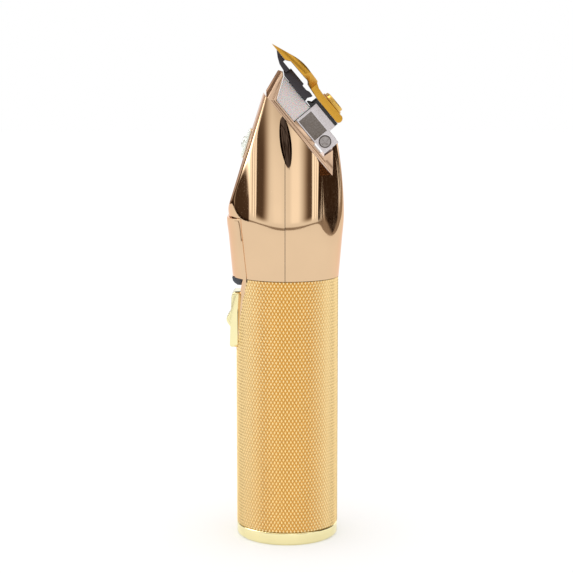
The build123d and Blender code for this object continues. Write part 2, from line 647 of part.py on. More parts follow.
def blade_carrier():
    """The pale block that carries the cutter's rail and the bracket."""
    top_t, foot_t, rear_s = -3.55, -9.85, 30.9
    body = slab([(9.75, top_t), (13.95, foot_t), (rear_s, foot_t), (rear_s, top_t)], UNIT_HALF_W - 0.3)
    cheek_in, cheek_front = 10.1, 21.9
    for x in (-1, 1):
        low, high = sorted((x * cheek_in, x * 13.0))
        body -= block(low, high, cheek_front, 40, -20, 0)
    window_half_w, window_front, window_rear, roof_t = 7.6, 14.6, 24.0, -5.4
    body -= block(-window_half_w, window_half_w, window_front, window_rear, -20, 0)
    body -= block(-window_half_w, window_half_w, window_front, rear_s + 0.6, -20, roof_t)
    for x in (-SCREW_X, SCREW_X):
        body -= rod(SCREW_R + 0.05, -20, 0, x=x, y=SCREW_S)
    return largest(in_blade_frame(body))


def blade_bracket():
    """The steel bracket over the carrier: a bridge for the blade and two cheeks with rear ears."""
    front_s, rear_s, ear_rear_s, bridge_t = 22.1, 31.1, 35.4, -3.35
    cheek_in, cheek_t, ear_low_t, ear_top_t = 10.2, -9.1, -9.0, -3.5
    ear_bore, counterbore, window_depth = 1.35, 1.9, 0.35
    body = block(-UNIT_HALF_W, UNIT_HALF_W, front_s, rear_s, bridge_t, BRACKET_TOP)
    for x in (-SCREW_X, SCREW_X):
        body -= rod(CLEAR_HOLE_R, -10, 5, x=x, y=SCREW_S)
    for x in (-1, 1):
        low, high = sorted((x * cheek_in, x * UNIT_HALF_W))
        cheek = block(low, high, front_s, rear_s, cheek_t, BRACKET_TOP)
        cheek += block(low, high, rear_s - 0.1, ear_rear_s, ear_low_t, ear_top_t)
        cheek -= Pos(x * 11, EAR_S, EAR_T) * Rotation(0, 90, 0) * Cylinder(ear_bore, 6)
        face_x = x * (UNIT_HALF_W + 1 - EAR_SINK)
        cheek -= Pos(face_x, EAR_S, EAR_T) * Rotation(0, 90, 0) * Cylinder(counterbore, 2)
        low, high = sorted((x * (UNIT_HALF_W - window_depth), x * (UNIT_HALF_W + 1)))
        cheek -= block(low, high, front_s + 0.8, rear_s - 0.7, cheek_t + 0.4, BRACKET_TOP - 2.7)
        body += cheek
    return largest(in_blade_frame(body))


def ear_screws():
    """The screw in each rear ear, with a round cross-slotted head."""
    head_r, head_h, shank_r, shank_end = 1.6, 0.3, 1.3, -2.4
    arm, half_slot, slot_floor = 1.2, 0.25, -0.2
    body = rod(head_r, 0.02 - EAR_SINK, head_h) + rod(shank_r, shank_end, 0)
    body -= block(-arm, arm, -half_slot, half_slot, slot_floor, 1)
    body -= block(-half_slot, half_slot, -arm, arm, slot_floor, 1)
    screws = []
    for x in (-1, 1):
        place = Pos(x * UNIT_HALF_W, EAR_S, EAR_T) * Rotation(0, 90 * x, 0)
        screws.append(in_blade_frame(place * body))
    return screws


def ear_nut_bar():
    """The bar between the ears that the ear screws thread into."""
    bar_r, half_length, thread_r, thread_length = 1.6, 10.1, 1.32, 5.4
    bar = Pos(0, EAR_S, EAR_T) * Rotation(0, 90, 0) * Cylinder(bar_r, 2 * half_length)
    for x in (-half_length, half_length):
        bar -= Pos(x, EAR_S, EAR_T) * Rotation(0, 90, 0) * Cylinder(thread_r, thread_length)
    return in_blade_frame(bar)


def blade_shim():
    """The thin dark shim between the bracket and the fixed blade, with its front lip folded down."""
    top, under, lip_foot = BLADE_SEAT - 0.05, BRACKET_TOP + 0.02, -3.1
    front_s, lip_s, rear_s = 21.4, 22.05, 31.0
    profile = [(front_s, top), (rear_s, top), (rear_s, under), (lip_s, under)]
    profile += [(lip_s, lip_foot), (20.3, lip_foot), (20.5, -2.6), (front_s, -1.9)]
    shim = slab(profile, TANG_HALF_W - 0.3)
    for x in (-SCREW_X, SCREW_X):
        shim -= rod(CLEAR_HOLE_R, -10, 5, x=x, y=SCREW_S)
    return in_blade_frame(shim)


def tooth_slots(half_w, pitch, gap, s_low, s_high, t_low, t_high):
    """Slots between teeth, each with a narrowing root, as one list of cutters."""
    mouth, root = gap * 0.62, gap * 0.28  # half-widths at the slot's mouth and root
    slot = make_face(Polyline((-mouth, s_low), (mouth, s_low), (root, s_high), (-root, s_high), close=True))
    slot = extrude(slot, t_high - t_low)
    count = int(2 * half_w / pitch)
    first = -pitch * (count - 1) / 2
    return [Pos(first + i * pitch, 0, t_low) * slot for i in range(count)]


def t_outline(half_w, tang_half_w, s_wing, s_tang, s_end):
    """The T-blade's plan: a wide toothed bar that sweeps in to the tang."""
    pts = [(-half_w, -1), (half_w, -1), (half_w, s_wing), (tang_half_w, s_tang), (tang_half_w, s_end)]
    pts += [(-tang_half_w, s_end), (-tang_half_w, s_tang), (-half_w, s_wing)]
    return Pos(0, 0, -6) * extrude(make_face(Polyline(*pts, close=True)), 14)


def fixed_blade():
    """The arched T-blade with fine teeth, a relief arch under it and two adjusting slots."""
    crown, tang_top, end_s = 3.52, 2.12, 31.15
    profile = Polyline((0, 0), (6.8, 2.6))
    profile += ThreePointArc((6.8, 2.6), (9.6, 3.38), (13.3, crown))
    step_foot, tang_end = (21.3, tang_top), (29.6, tang_top + 0.15)
    profile += Polyline((13.3, crown), (17.2, 3.4), (17.7, 2.9), (19.2, 2.3), step_foot, tang_end)
    profile += ThreePointArc(tang_end, (end_s, 1.15), (30.6, BLADE_SEAT))
    profile += Polyline((30.6, BLADE_SEAT), (21.5, BLADE_SEAT), (17.4, 0.35), (16.5, 0.45))
    profile += ThreePointArc((16.5, 0.45), (15.9, 1.0), (14.6, 1.15))
    profile += Polyline((14.6, 1.15), (7.6, 1.05), (6.2, 0), (0, 0))
    body = extrude(make_face(Plane.YZ * profile), BLADE_HALF_W, both=True)
    body &= t_outline(BLADE_HALF_W, TANG_HALF_W, 13.2, 17.8, 33.0)
    for x in (-1, 1):
        body -= half_space((x * BLADE_HALF_W, 15.0, 2.2), (x * 13.65, -0.95, 10.5))
    body -= tooth_slots(BLADE_HALF_W - 0.4, TOOTH_PITCH, TOOTH_GAP, -0.5, TOOTH_DEPTH, -2, 6)
    slot_r, slot_half = 1.45, 0.5
    for x in (-SCREW_X, SCREW_X):
        for s in (SCREW_S - slot_half, SCREW_S + slot_half):
            body -= rod(slot_r, -10, 8, x=x, y=s)
        body -= block(x - slot_r, x + slot_r, SCREW_S - slot_half, SCREW_S + slot_half, -10, 8)
    return in_blade_frame(body)


def blade_screws():
    """Two flanged screws with low domed heads that clamp the fixed blade to the bracket."""
    seat, flange_r, head_r, head_top = 2.3, 3.75, 3.3, 3.8
    shank_end = -5.2
    arm, half_slot, slot_floor = 2.1, 0.35, 3.0
    screws = []
    for x in (-SCREW_X, SCREW_X):
        flange = rod(flange_r, seat, seat + 0.45, x=x, y=SCREW_S)
        head = rod(head_r, seat + 0.4, head_top, x=x, y=SCREW_S)
        head = fillet(head.edges().group_by(Axis.Z)[-1], 0.5)
        shank = rod(SCREW_R, shank_end, seat + 0.1, x=x, y=SCREW_S)
        slot = block(x - arm, x + arm, SCREW_S - half_slot, SCREW_S + half_slot, slot_floor, 5)
        cross = block(x - half_slot, x + half_slot, SCREW_S - arm, SCREW_S + arm, slot_floor, 5)
        screws.append(in_blade_frame(flange + head + shank - slot - cross))
    return screws


def cutter_blade():
    """The dark moving blade, with coarser teeth than the fixed one."""
    edge_s, step_s, rear_s, face_t, step_t = 2.25, 6.1, 9.2, -0.08, -0.8
    profile = [(edge_s, face_t), (step_s, face_t), (step_s, step_t), (rear_s, step_t)]
    profile += [(rear_s, -2.25), (8.1, -2.4), (6.0, -2.1), (4.2, -1.3)]
    body = slab(profile, CUTTER_HALF_W)
    pitch, gap, slot_front, slot_end = 1.8, 0.9, 1.8, 4.6
    body -= tooth_slots(CUTTER_HALF_W - 0.4, pitch, gap, slot_front, slot_end, -4, 2)
    return in_blade_frame(body)


def cutter_carriage():
    """The dark slide under the cutter, with a raised block and a hooked rear edge."""
    profile = [
        (9.25, -2.3),
        (9.25, -0.32),
        (15.2, -0.32),
        (15.4, -0.95),
        (17.6, -0.9),
        (18.5, -0.5),
        (19.7, -0.6),
        (19.6, -1.2),
        (19.1, -2.2),
        (19.4, -3.3),
        (9.7, -3.3),
        (8.2, -2.45),
    ]
    return in_blade_frame(slab(profile, 13.4))


def drive_yoke():
    """The fork that reaches through the carrier to the cam roller, with room for the roller's circle."""
    prong_in, prong_out = ROLLER_R + CAM_THROW + CUTTER_TRAVEL + 0.2, 6.2
    front_s, bar_rear_s, prong_rear_s = 16.4, 18.8, 21.8
    top_t, bar_t, prong_t = -3.36, -4.6, -12.4
    body = block(-prong_out, prong_out, front_s, bar_rear_s, bar_t, top_t)
    for x in (-1, 1):
        low, high = sorted((x * prong_in, x * prong_out))
        prong = block(low, high, front_s, prong_rear_s, prong_t, top_t)
        body += prong - block(low - 1, high + 1, bar_rear_s, prong_rear_s + 2, bar_t, 0)
    return in_blade_frame(body)


def tension_spring():
    """The leaf under the cutter's slide, clamped under the bracket, that presses it to the fixed blade."""
    low, high, half_w, arm_in = -3.52, -3.38, 9.6, 8.2
    arm_front, clamp_front, clamp_rear = 12.0, 23.4, 28.0
    leaf = block(-half_w, half_w, clamp_front, clamp_rear, low, high)
    for x in (-1, 1):
        near, far = sorted((x * arm_in, x * half_w))
        leaf += block(near, far, arm_front, clamp_front + 0.6, low, high)
    for x in (-SCREW_X, SCREW_X):
        leaf -= rod(CLEAR_HOLE_R, -10, 5, x=x, y=SCREW_S)
    return in_blade_frame(leaf)


def front_badge():
    """A plain raised plate with a domed stud on the front facet."""
    lean = radians(FRONT_TILT)
    along, stud_r, stud_h = 21.6, 1.9, 1.9  # distance up the facet, and the stud's size
    at = Plane(
        origin=(0, -CHIN_R + along * sin(lean) + 0.12, CHIN_Z + along * cos(lean)),
        x_dir=(1, 0, 0),
        z_dir=(0, -cos(lean), sin(lean)),
    )
    plate = extrude(RectangleRounded(6.4, 9.6, 1.6), 0.75)
    rim = extrude(RectangleRounded(5.0, 8.2, 1.1), 1.0)
    stud = Cylinder(stud_r, stud_h, align=(Align.CENTER, Align.CENTER, Align.MIN))
    stud = fillet(stud.edges().group_by(Axis.Z)[-1], 0.7)
    body = at * (plate + rim + stud)
    return body - front_face(-0.01)


# ---- Assembly -------------------------------------------------------------------------------
def build():
    front_shell, rear_shell = head_shells()
    return {
        "barrel": barrel(),
        "end_cap": end_cap(),
        "cap_insert": cap_insert(),
        "charge_socket": charge_socket(),
        "socket_pin": socket_pin(),
        "dock_pads": dock_pads(),
        "cap_o_ring": o_ring(),
        "battery_cell": battery_cell(),
        "battery_wrap": cell_wrap(),
        "battery_cradle": cell_cradle(),
        "battery_spring": cell_spring(),
        "battery_contact": contact_disc(),
        "circuit_board": circuit_board(),
        "board_components": board_parts(),
        "toggle_switch": toggle_switch(),
        "status_led": status_led(),
        "indicator_lens": indicator_lens(),
        "switch_housing": switch_housing(),
        "switch_plate": switch_plate(),
        "switch_slider": switch_slider(),
        "slider_stem": slider_stem(),
        "neck_gasket": neck_gasket(),
        "coupling_ring": coupling_ring(),
        "head_front_shell": front_shell,
        "head_rear_shell": rear_shell,
        "front_badge": front_badge(),
        "motor_can": motor_can(),
        "motor_end_bell": motor_end_bell(),
        "motor_stator": motor_stator(),
        "motor_windings": motor_windings(),
        "motor_lower_bush": bush(MOTOR_BASE, MOTOR_BASE + 2.0, LOWER_BUSH_R),
        "motor_upper_bush": bush(MOTOR_TOP - 2.5, MOTOR_TOP, UPPER_BUSH_R),
        "motor_mount": motor_mount(),
        "motor_screws": motor_screws(),
        "motor_leads": motor_leads(),
        "motor_shaft": motor_shaft(),
        "rotor_magnet": rotor_magnet(),
        "eccentric_cam": eccentric_cam(),
        "cam_pin": cam_pin(),
        "cam_roller": cam_roller(),
        "blade_tray": blade_tray(),
        "blade_carrier": blade_carrier(),
        "blade_bracket": blade_bracket(),
        "ear_screws": ear_screws(),
        "ear_nut_bar": ear_nut_bar(),
        "blade_shim": blade_shim(),
        "fixed_blade": fixed_blade(),
        "blade_screws": blade_screws(),
        "cutter_blade": cutter_blade(),
        "cutter_carriage": cutter_carriage(),
        "drive_yoke": drive_yoke(),
        "tension_spring": tension_spring(),
    }


def main():
    os.makedirs("parts", exist_ok=True)
    for name, shape in build().items():
        solids = [s for item in (shape if isinstance(shape, list) else [shape]) for s in item.solids()]
        export_step(solids[0] if len(solids) == 1 else Compound(solids), f"parts/{name}.step")


main()
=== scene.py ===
import json
from math import atan2, ceil, cos, degrees, pi, radians, sin, sqrt, tan

import bmesh
import bpy
import numpy as np
from mathutils import Matrix, Vector


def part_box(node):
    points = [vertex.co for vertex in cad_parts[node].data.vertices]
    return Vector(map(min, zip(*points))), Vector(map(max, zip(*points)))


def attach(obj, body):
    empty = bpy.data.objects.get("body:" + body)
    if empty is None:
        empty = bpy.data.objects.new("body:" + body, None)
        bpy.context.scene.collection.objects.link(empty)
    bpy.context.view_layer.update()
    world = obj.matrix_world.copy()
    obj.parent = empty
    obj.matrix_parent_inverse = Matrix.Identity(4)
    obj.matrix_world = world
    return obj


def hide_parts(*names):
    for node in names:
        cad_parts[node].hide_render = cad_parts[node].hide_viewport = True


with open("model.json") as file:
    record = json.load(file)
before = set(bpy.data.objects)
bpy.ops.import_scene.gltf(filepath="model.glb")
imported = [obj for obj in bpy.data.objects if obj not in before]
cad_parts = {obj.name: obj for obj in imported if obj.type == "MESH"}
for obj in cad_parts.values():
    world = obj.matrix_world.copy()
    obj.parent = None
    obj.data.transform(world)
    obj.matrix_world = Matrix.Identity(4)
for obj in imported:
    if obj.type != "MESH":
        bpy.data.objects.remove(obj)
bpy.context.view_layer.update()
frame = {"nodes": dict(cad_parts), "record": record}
MM = 0.001


# ---- Shared sizes: from the frame in metres, and the head's own in millimetres ---------------
GRIP_LOW, GRIP_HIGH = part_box("barrel")
GRIP_R = GRIP_HIGH.x
GRIP_BORE = GRIP_R - 1.4 * MM
HEAD_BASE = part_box("head_front_shell")[0].z
KNURL_COUNT, KNURL_PITCH = 88, 1.9 * MM  # diamonds round the grip, and the height of one
KNURL_DEPTH, KNURL_LAND = 0.32 * MM, 0.44  # the land is a share of the pitch
PANEL_LEAN, PANEL_R, PANEL_X, PANEL_Z = radians(9.5), 19.5, 17.6, 98.2  # the head's side panels
SCOOP_Y, SCOOP_Z, SCOOP_LEAN = -0.5, 125.2, radians(7.2)  # the leaf-shaped scoop in each panel
SCOOP_HALF_W, SCOOP_HALF_H, SCOOP_DEPTH = 1.75, 8.5, 1.35
WINDOW_X = 11.45 * MM  # the floor of the sunk windows in the bracket's cheeks
BLADE_ANGLE = radians(50.0)  # the blade's slope above level
BLADE_TIP = Vector((0.0, -4.56 * MM, 154.3 * MM))
BLADE_FRAME = Matrix.Translation(BLADE_TIP) @ Matrix.Rotation(-BLADE_ANGLE, 4, "X")


# ---- Mesh helpers ---------------------------------------------------------------------------
def new_object(name, verts, faces):
    mesh = bpy.data.meshes.new(name)
    mesh.from_pydata([tuple(v) for v in verts], [], [tuple(f) for f in faces])
    mesh.update()
    piece = bpy.data.objects.new(name, mesh)
    bpy.context.scene.collection.objects.link(piece)
    return piece


def shade(piece, angle):
    """Smooth shading, with edges sharper than the angle kept crisp."""
    target = {"object": piece, "active_object": piece, "selected_editable_objects": [piece]}
    with bpy.context.temp_override(**target):
        bpy.ops.object.shade_smooth_by_angle(angle=radians(angle))


def bake_modifiers(piece):
    """Replace a piece's mesh by what its modifiers make of it."""
    depsgraph = bpy.context.evaluated_depsgraph_get()
    mesh = bpy.data.meshes.new_from_object(piece.evaluated_get(depsgraph))
    piece.modifiers.clear()
    old, piece.data = piece.data, mesh
    mesh.name = old.name
    bpy.data.meshes.remove(old)


def cut(piece, cutter):
    """Take the cutter's volume out of a piece, and remove the cutter."""
    mod = piece.modifiers.new("cut", "BOOLEAN")
    mod.operation, mod.object, mod.solver = "DIFFERENCE", cutter, "MANIFOLD"
    bake_modifiers(piece)
    bpy.data.objects.remove(cutter)


def prism(name, outline, low, high, axis):
    """A closed prism: an outline of pairs, extruded along an axis between two values."""
    place = {
        "X": lambda a, b, c: (c, a, b),
        "Y": lambda a, b, c: (a, c, b),
        "Z": lambda a, b, c: (a, b, c),
    }[axis]
    n = len(outline)
    verts = [place(a, b, low) for a, b in outline] + [place(a, b, high) for a, b in outline]
    sides = [(i, (i + 1) % n, n + (i + 1) % n, n + i) for i in range(n)]
    ends = [tuple(range(n))[::-1], tuple(range(n, 2 * n))]
    piece = new_object(name, verts, [*ends, *sides])
    face_outwards(piece)
    return piece


def face_outwards(piece):
    """Turn every face's normal outwards."""
    bm = bmesh.new()
    bm.from_mesh(piece.data)
    bmesh.ops.recalc_face_normals(bm, faces=bm.faces)
    bm.to_mesh(piece.data)
    bm.free()


def slab(name, low, high):
    """A box between two corners, as a prism."""
    outline = [(low[0], low[1]), (high[0], low[1]), (high[0], high[1]), (low[0], high[1])]
    return prism(name, outline, low[2], high[2], "Z")


# ---- Material helpers -----------------------------------------------------------------------
EVEN = (1.0, 1.0, 1.0)  # a grain with no direction
LEAST_ROUGH = 0.02
GOLD_EDGE, ROSE_EDGE = (1.0, 0.84, 0.60, 1.0), (1.0, 0.80, 0.70, 1.0)  # tints at grazing angles


class Nodes:
    """A short way to build a node tree."""

    def __init__(self, material):
        material.use_nodes = True
        self.tree = material.node_tree
        self.tree.nodes.clear()
        out = self.add("ShaderNodeOutputMaterial")
        self.shader = self.add("ShaderNodeBsdfPrincipled")
        self.link(self.shader, "BSDF", out, "Surface")

    @classmethod
    def extend(cls, material):
        """The same helper for a tree that already has its shader."""
        nodes = cls.__new__(cls)
        nodes.tree = material.node_tree
        nodes.shader = next(n for n in nodes.tree.nodes if n.type == "BSDF_PRINCIPLED")
        return nodes

    def add(self, kind, **settings):
        node = self.tree.nodes.new(kind)
        for key, value in settings.items():
            setattr(node, key, value)
        return node

    def link(self, a, out, b, into):
        self.tree.links.new(a.outputs[out], b.inputs[into])

    def coords(self, scale):
        where = self.add("ShaderNodeTexCoord")
        mapping = self.add("ShaderNodeMapping")
        mapping.inputs["Scale"].default_value = scale
        self.link(where, "Object", mapping, "Vector")
        return mapping

    def noise(self, size_mm, detail, stretch=EVEN):
        """Noise with features about size_mm across, stretched along the axes with small factors."""
        tex = self.add("ShaderNodeTexNoise")
        tex.inputs["Scale"].default_value = 1.0
        tex.inputs["Detail"].default_value = detail
        scale = 1.0 / (size_mm * MM)
        self.link(self.coords([scale * s for s in stretch]), "Vector", tex, "Vector")
        return tex

    def spread(self, source, out, low, high, from_low=0.3, from_high=0.7):
        """A value that moves from low to high as the source crosses the second range."""
        node = self.add("ShaderNodeMapRange")
        node.inputs["From Min"].default_value = from_low
        node.inputs["From Max"].default_value = from_high
        node.inputs["To Min"].default_value = low
        node.inputs["To Max"].default_value = high
        self.link(source, out, node, "Value")
        return node

    def tint(self, source, out, dark, light, low=0.3, high=0.7):
        """A colour that moves between two as the source goes from low to high."""
        ramp = self.add("ShaderNodeValToRGB")
        first, last = ramp.color_ramp.elements
        first.position, last.position = low, high
        first.color, last.color = (*dark, 1.0), (*light, 1.0)
        self.link(source, out, ramp, "Fac")
        self.link(ramp, "Color", self.shader, "Base Color")

    def speckled_tint(self, share, dark, light, size_mm, detail, amount, low, high):
        """A tint that follows a share from 0 to 1, with a little noise added to it."""
        speckle = self.noise(size_mm, detail)
        mixed = self.add("ShaderNodeMath", operation="MULTIPLY_ADD")
        self.link(speckle, "Fac", mixed, 0)
        mixed.inputs[1].default_value = amount
        self.link(share, "Result", mixed, 2)
        self.tint(mixed, "Value", dark, light, low, high)

    def bump(self, source, out, depth_mm, strength):
        node = self.add("ShaderNodeBump")
        node.inputs["Distance"].default_value = depth_mm * MM
        node.inputs["Strength"].default_value = strength
        self.link(source, out, node, "Height")
        self.link(node, "Normal", self.shader, "Normal")

    def set(self, **values):
        for key, value in values.items():
            self.shader.inputs[key.replace("_", " ")].default_value = value


def varied(colour, amount):
    """A darker and a lighter neighbour of a colour."""
    return tuple(c * (1 - amount) for c in colour), tuple(min(1.0, c * (1 + amount)) for c in colour)


def metal(name, colour, rough, spread=0.03, grain_mm=0.6, bump_mm=0.0, stretch=EVEN, amount=0.03):
    """Metal with a fine finish: colour and roughness drift, and an optional tool grain."""
    material = bpy.data.materials.new(name)
    nodes = Nodes(material)
    broad = nodes.noise(size_mm=9.0, detail=2.0)
    fine = nodes.noise(grain_mm, detail=4.0, stretch=stretch)
    nodes.tint(broad, "Fac", *varied(colour, amount))
    rough_map = nodes.spread(fine, "Fac", low=max(LEAST_ROUGH, rough - spread), high=rough + spread)
    nodes.link(rough_map, "Result", nodes.shader, "Roughness")
    if bump_mm:
        nodes.bump(fine, "Fac", bump_mm, strength=0.6)
    nodes.set(Metallic=1.0)
    return material


def plastic(name, colour, rough, grain_mm=0.25, bump_mm=0.01, subsurface=0.0, amount=0.06):
    """Moulded plastic with a fine spark-eroded grain."""
    material = bpy.data.materials.new(name)
    nodes = Nodes(material)
    spread = 0.06
    broad = nodes.noise(size_mm=6.0, detail=2.0)
    fine = nodes.noise(grain_mm, detail=3.0)
    nodes.tint(broad, "Fac", *varied(colour, amount))
    rough_map = nodes.spread(fine, "Fac", low=rough - spread, high=rough + spread)
    nodes.link(rough_map, "Result", nodes.shader, "Roughness")
    nodes.bump(fine, "Fac", bump_mm, strength=0.5)
    if subsurface:
        nodes.set(Subsurface_Weight=subsurface, Subsurface_Scale=2.0 * MM)
    return material


def knurl_metal(name, flat, groove_shade, rough):
    """Anodised metal with painted shade down in the knurl's grooves, set by the distance from the axis."""
    material = metal(name, flat, rough, spread=0.05, grain_mm=0.12, amount=0.0)
    nodes = Nodes.extend(material)
    where = nodes.add("ShaderNodeTexCoord")
    flat_way = nodes.add("ShaderNodeVectorMath", operation="MULTIPLY")
    flat_way.inputs[1].default_value = (1.0, 1.0, 0.0)
    nodes.link(where, "Object", flat_way, 0)
    reach = nodes.add("ShaderNodeVectorMath", operation="LENGTH")
    nodes.link(flat_way, "Vector", reach, 0)
    # painted shade: the gold darkens from the diamonds' flat tops down to the groove floor
    bottom, top = GRIP_R - KNURL_DEPTH, GRIP_R - 0.02 * MM
    share = nodes.spread(reach, "Value", 0.0, 1.0, from_low=bottom, from_high=top)
    nodes.speckled_tint(share, groove_shade, flat, size_mm=0.7, detail=3.0, amount=0.16, low=0.08, high=0.95)
    nodes.set(Specular_Tint=GOLD_EDGE)
    return material


def head_plating(name, plating, scoop_shade):
    """Mirror plating, with painted shade down in the side scoops, which lie inside the side panels' round.
    """
    material = metal(name, plating, rough=0.045, spread=0.015, grain_mm=1.5, amount=0.015)
    nodes = Nodes.extend(material)

    def math(operation, a, b, pin=False):
        node = nodes.add("ShaderNodeMath", operation=operation, use_clamp=pin)
        for i, value in enumerate((a, b)):
            if isinstance(value, (int, float)):
                node.inputs[i].default_value = value
            else:
                nodes.tree.links.new(value, node.inputs[i])
        return node.outputs[0]

    split = nodes.add("ShaderNodeSeparateXYZ")
    nodes.link(nodes.add("ShaderNodeTexCoord"), "Object", split, 0)
    x, y, z = (math("DIVIDE", axis, MM) for axis in split.outputs)
    lean = math("MULTIPLY", math("SUBTRACT", z, PANEL_Z), tan(PANEL_LEAN))
    aside = math("SUBTRACT", math("ABSOLUTE", x, 0.0), PANEL_X - PANEL_R / cos(PANEL_LEAN))
    out = math("MULTIPLY", math("ADD", aside, lean), cos(PANEL_LEAN))
    reach = math("SQRT", math("ADD", math("MULTIPLY", out, out), math("MULTIPLY", y, y)), 0.0)
    half_w, low, high = 2.9, 116.0, 134.5  # the part of the panel that holds the scoop
    inside = PANEL_R - 0.10
    sunk_edge, side_edge, end_edge = 8.0, 5.0, 2.0  # how sharply each mask rises, per millimetre
    sunk = math("MULTIPLY", math("SUBTRACT", inside, reach), sunk_edge, True)
    near = math("MULTIPLY", math("SUBTRACT", half_w, math("ABSOLUTE", y, 0.0)), side_edge, True)
    above = math("MULTIPLY", math("SUBTRACT", z, low), end_edge, True)
    below = math("MULTIPLY", math("SUBTRACT", high, z), end_edge, True)
    mask = math("MULTIPLY", math("MULTIPLY", sunk, near), math("MULTIPLY", above, below))
    # painted shade: inside the scoops the plating colour is mixed towards a near-black
    plain = nodes.shader.inputs["Base Color"].links[0].from_socket
    mix = nodes.add("ShaderNodeMix", data_type="RGBA")
    nodes.tree.links.new(mask, mix.inputs["Factor"])
    nodes.tree.links.new(plain, mix.inputs[6])
    mix.inputs[7].default_value = (*scoop_shade, 1.0)
    nodes.tree.links.new(mix.outputs[2], nodes.shader.inputs["Base Color"])
    nodes.set(Specular_Tint=ROSE_EDGE)
    return material


def shaded_below(name, plating, shade_side):
    """Plating with painted shade on its downward faces."""
    grain = (0.1, 1.0, 1.0)  # drawn out along X
    material = metal(name, plating, rough=0.08, grain_mm=0.3, bump_mm=0.001, stretch=grain)
    nodes = Nodes.extend(material)
    split = nodes.add("ShaderNodeSeparateXYZ")
    nodes.link(nodes.add("ShaderNodeTexCoord"), "Normal", split, 0)
    # painted shade: faces that point downwards take the dark colour
    share = nodes.spread(split, "Z", 0.0, 1.0, from_low=-0.45, from_high=-0.2)
    nodes.speckled_tint(
        share, shade_side, plating, size_mm=1.2, detail=3.0, amount=0.08, low=0.08, high=1.0
    )
    nodes.set(Specular_Tint=ROSE_EDGE)
    return material


def windowed_steel(name, plain, window):
    """Blasted steel that is darker on the floor of the shallow windows in the bracket's cheeks."""
    material = metal(name, plain, rough=0.42, spread=0.08, grain_mm=0.12, bump_mm=0.008, amount=0.0)
    nodes = Nodes.extend(material)
    split = nodes.add("ShaderNodeSeparateXYZ")
    nodes.link(nodes.add("ShaderNodeTexCoord"), "Object", split, 0)
    aside = nodes.add("ShaderNodeMath", operation="ABSOLUTE")
    nodes.link(split, "X", aside, 0)
    depth = nodes.add("ShaderNodeMath", operation="SUBTRACT")
    nodes.link(aside, 0, depth, 0)
    depth.inputs[1].default_value = WINDOW_X
    off = nodes.add("ShaderNodeMath", operation="ABSOLUTE")
    nodes.link(depth, 0, off, 0)
    share = nodes.spread(off, 0, 0.0, 1.0, from_low=0.08 * MM, from_high=0.2 * MM)
    nodes.speckled_tint(share, window, plain, size_mm=0.35, detail=4.0, amount=0.35, low=0.1, high=1.1)
    return material


ACROSS, ALONG = (0.06, 1.0, 1.0), (1.0, 1.0, 0.05)  # grain drawn out along X, and along Z
# the knurl's third colour is its gold darkened as painted shade for the groove floors
ROSE, GOLD_FLAT, GOLD_GROOVE_SHADE = (0.735, 0.52, 0.325), (0.97, 0.74, 0.37), (0.78, 0.535, 0.235)

# Each slot's finish: the function that makes it and its values, colours first.
FINISHES = {
    # the darker gold here is painted shade for the knurl's grooves
    "knurled_gold": (knurl_metal, GOLD_FLAT, GOLD_GROOVE_SHADE, 0.28),
    "polished_gold": (metal, (0.90, 0.82, 0.47), 0.12, 0.03, 0.5),
    # the near-black here is painted shade for the side scoops
    "rose_chrome": (head_plating, ROSE, (0.075, 0.047, 0.032)),
    # the dark second colour is painted shade on the downward faces
    "rose_satin": (shaded_below, (0.64, 0.44, 0.30), (0.10, 0.065, 0.045)),
    "pearl_white": (metal, (0.80, 0.83, 0.76), 0.14, 0.04, 0.5),
    "blade_gold": (metal, (0.62, 0.33, 0.045), 0.30, 0.05, 0.12, 0.006, ACROSS),
    "blade_black": (metal, (0.055, 0.05, 0.055), 0.34, 0.06, 0.12, 0.006, (0.08, 1.0, 1.0)),
    "screw_gold": (metal, (0.70, 0.43, 0.10), 0.22, 0.05, 0.15, 0.004),
    "bracket_steel": (windowed_steel, (0.64, 0.60, 0.61), (0.155, 0.13, 0.11)),
    "screw_grey": (metal, (0.36, 0.33, 0.32), 0.35, 0.06, 0.2, 0.004),
    "bare_steel": (metal, (0.56, 0.56, 0.57), 0.30, 0.06, 0.2, 0.006),
    "copper": (metal, (0.72, 0.30, 0.14), 0.30, 0.05, 0.25, 0.02, ALONG),
    "bronze": (metal, (0.62, 0.40, 0.20), 0.40, 0.08, 0.12, 0.008),
    "magnet_grey": (metal, (0.20, 0.20, 0.21), 0.35, 0.06, 0.2, 0.006),
    "cell_steel": (metal, (0.62, 0.62, 0.64), 0.28, 0.05, 0.2, 0.004),
    "white_plastic": (plastic, (0.66, 0.58, 0.565), 0.42, 0.25, 0.01, 0.3, 0.03),
    "black_plastic": (plastic, (0.025, 0.025, 0.028), 0.45),
    "lens_smoke": (plastic, (0.06, 0.07, 0.09), 0.12, 0.25, 0.002),
    "board_green": (plastic, (0.02, 0.12, 0.05), 0.35),
    "chip_black": (plastic, (0.03, 0.03, 0.032), 0.5),
    "wrap_blue": (plastic, (0.05, 0.16, 0.38), 0.25, 0.25, 0.004),
    "rubber_black": (plastic, (0.02, 0.02, 0.02), 0.7),
    "lead_red": (plastic, (0.40, 0.03, 0.02), 0.4),
}
made = {slot: make(slot, *values) for slot, (make, *values) in FINISHES.items()}
slot_of = {s["node"]: s["material_slot"] for s in frame["record"]["subparts"]}
bodies = frame["record"]["behaviour"]["bodies"]
body_of = {node: body for body, nodes in bodies.items() for node in nodes}

for node, piece in frame["nodes"].items():
    for slot in piece.material_slots:
        slot.material = made[slot_of[node]]


def finish_piece(piece, node):
    """The piece stands in for a node, with its body, slot and material."""
    piece.data.materials.clear()
    piece.data.materials.append(made[slot_of[node]])
    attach(piece, body_of[node])
    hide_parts(node)


# ---- Rounded copies of machined and moulded nodes -------------------------------------------
WELD_DISTANCE, FLAT_ANGLE = 0.002 * MM, radians(0.6)  # below these, points and faces are merged
ROUND_ANGLE, ROUND_SEGMENTS = radians(38.0), 2  # edges sharper than this are rounded


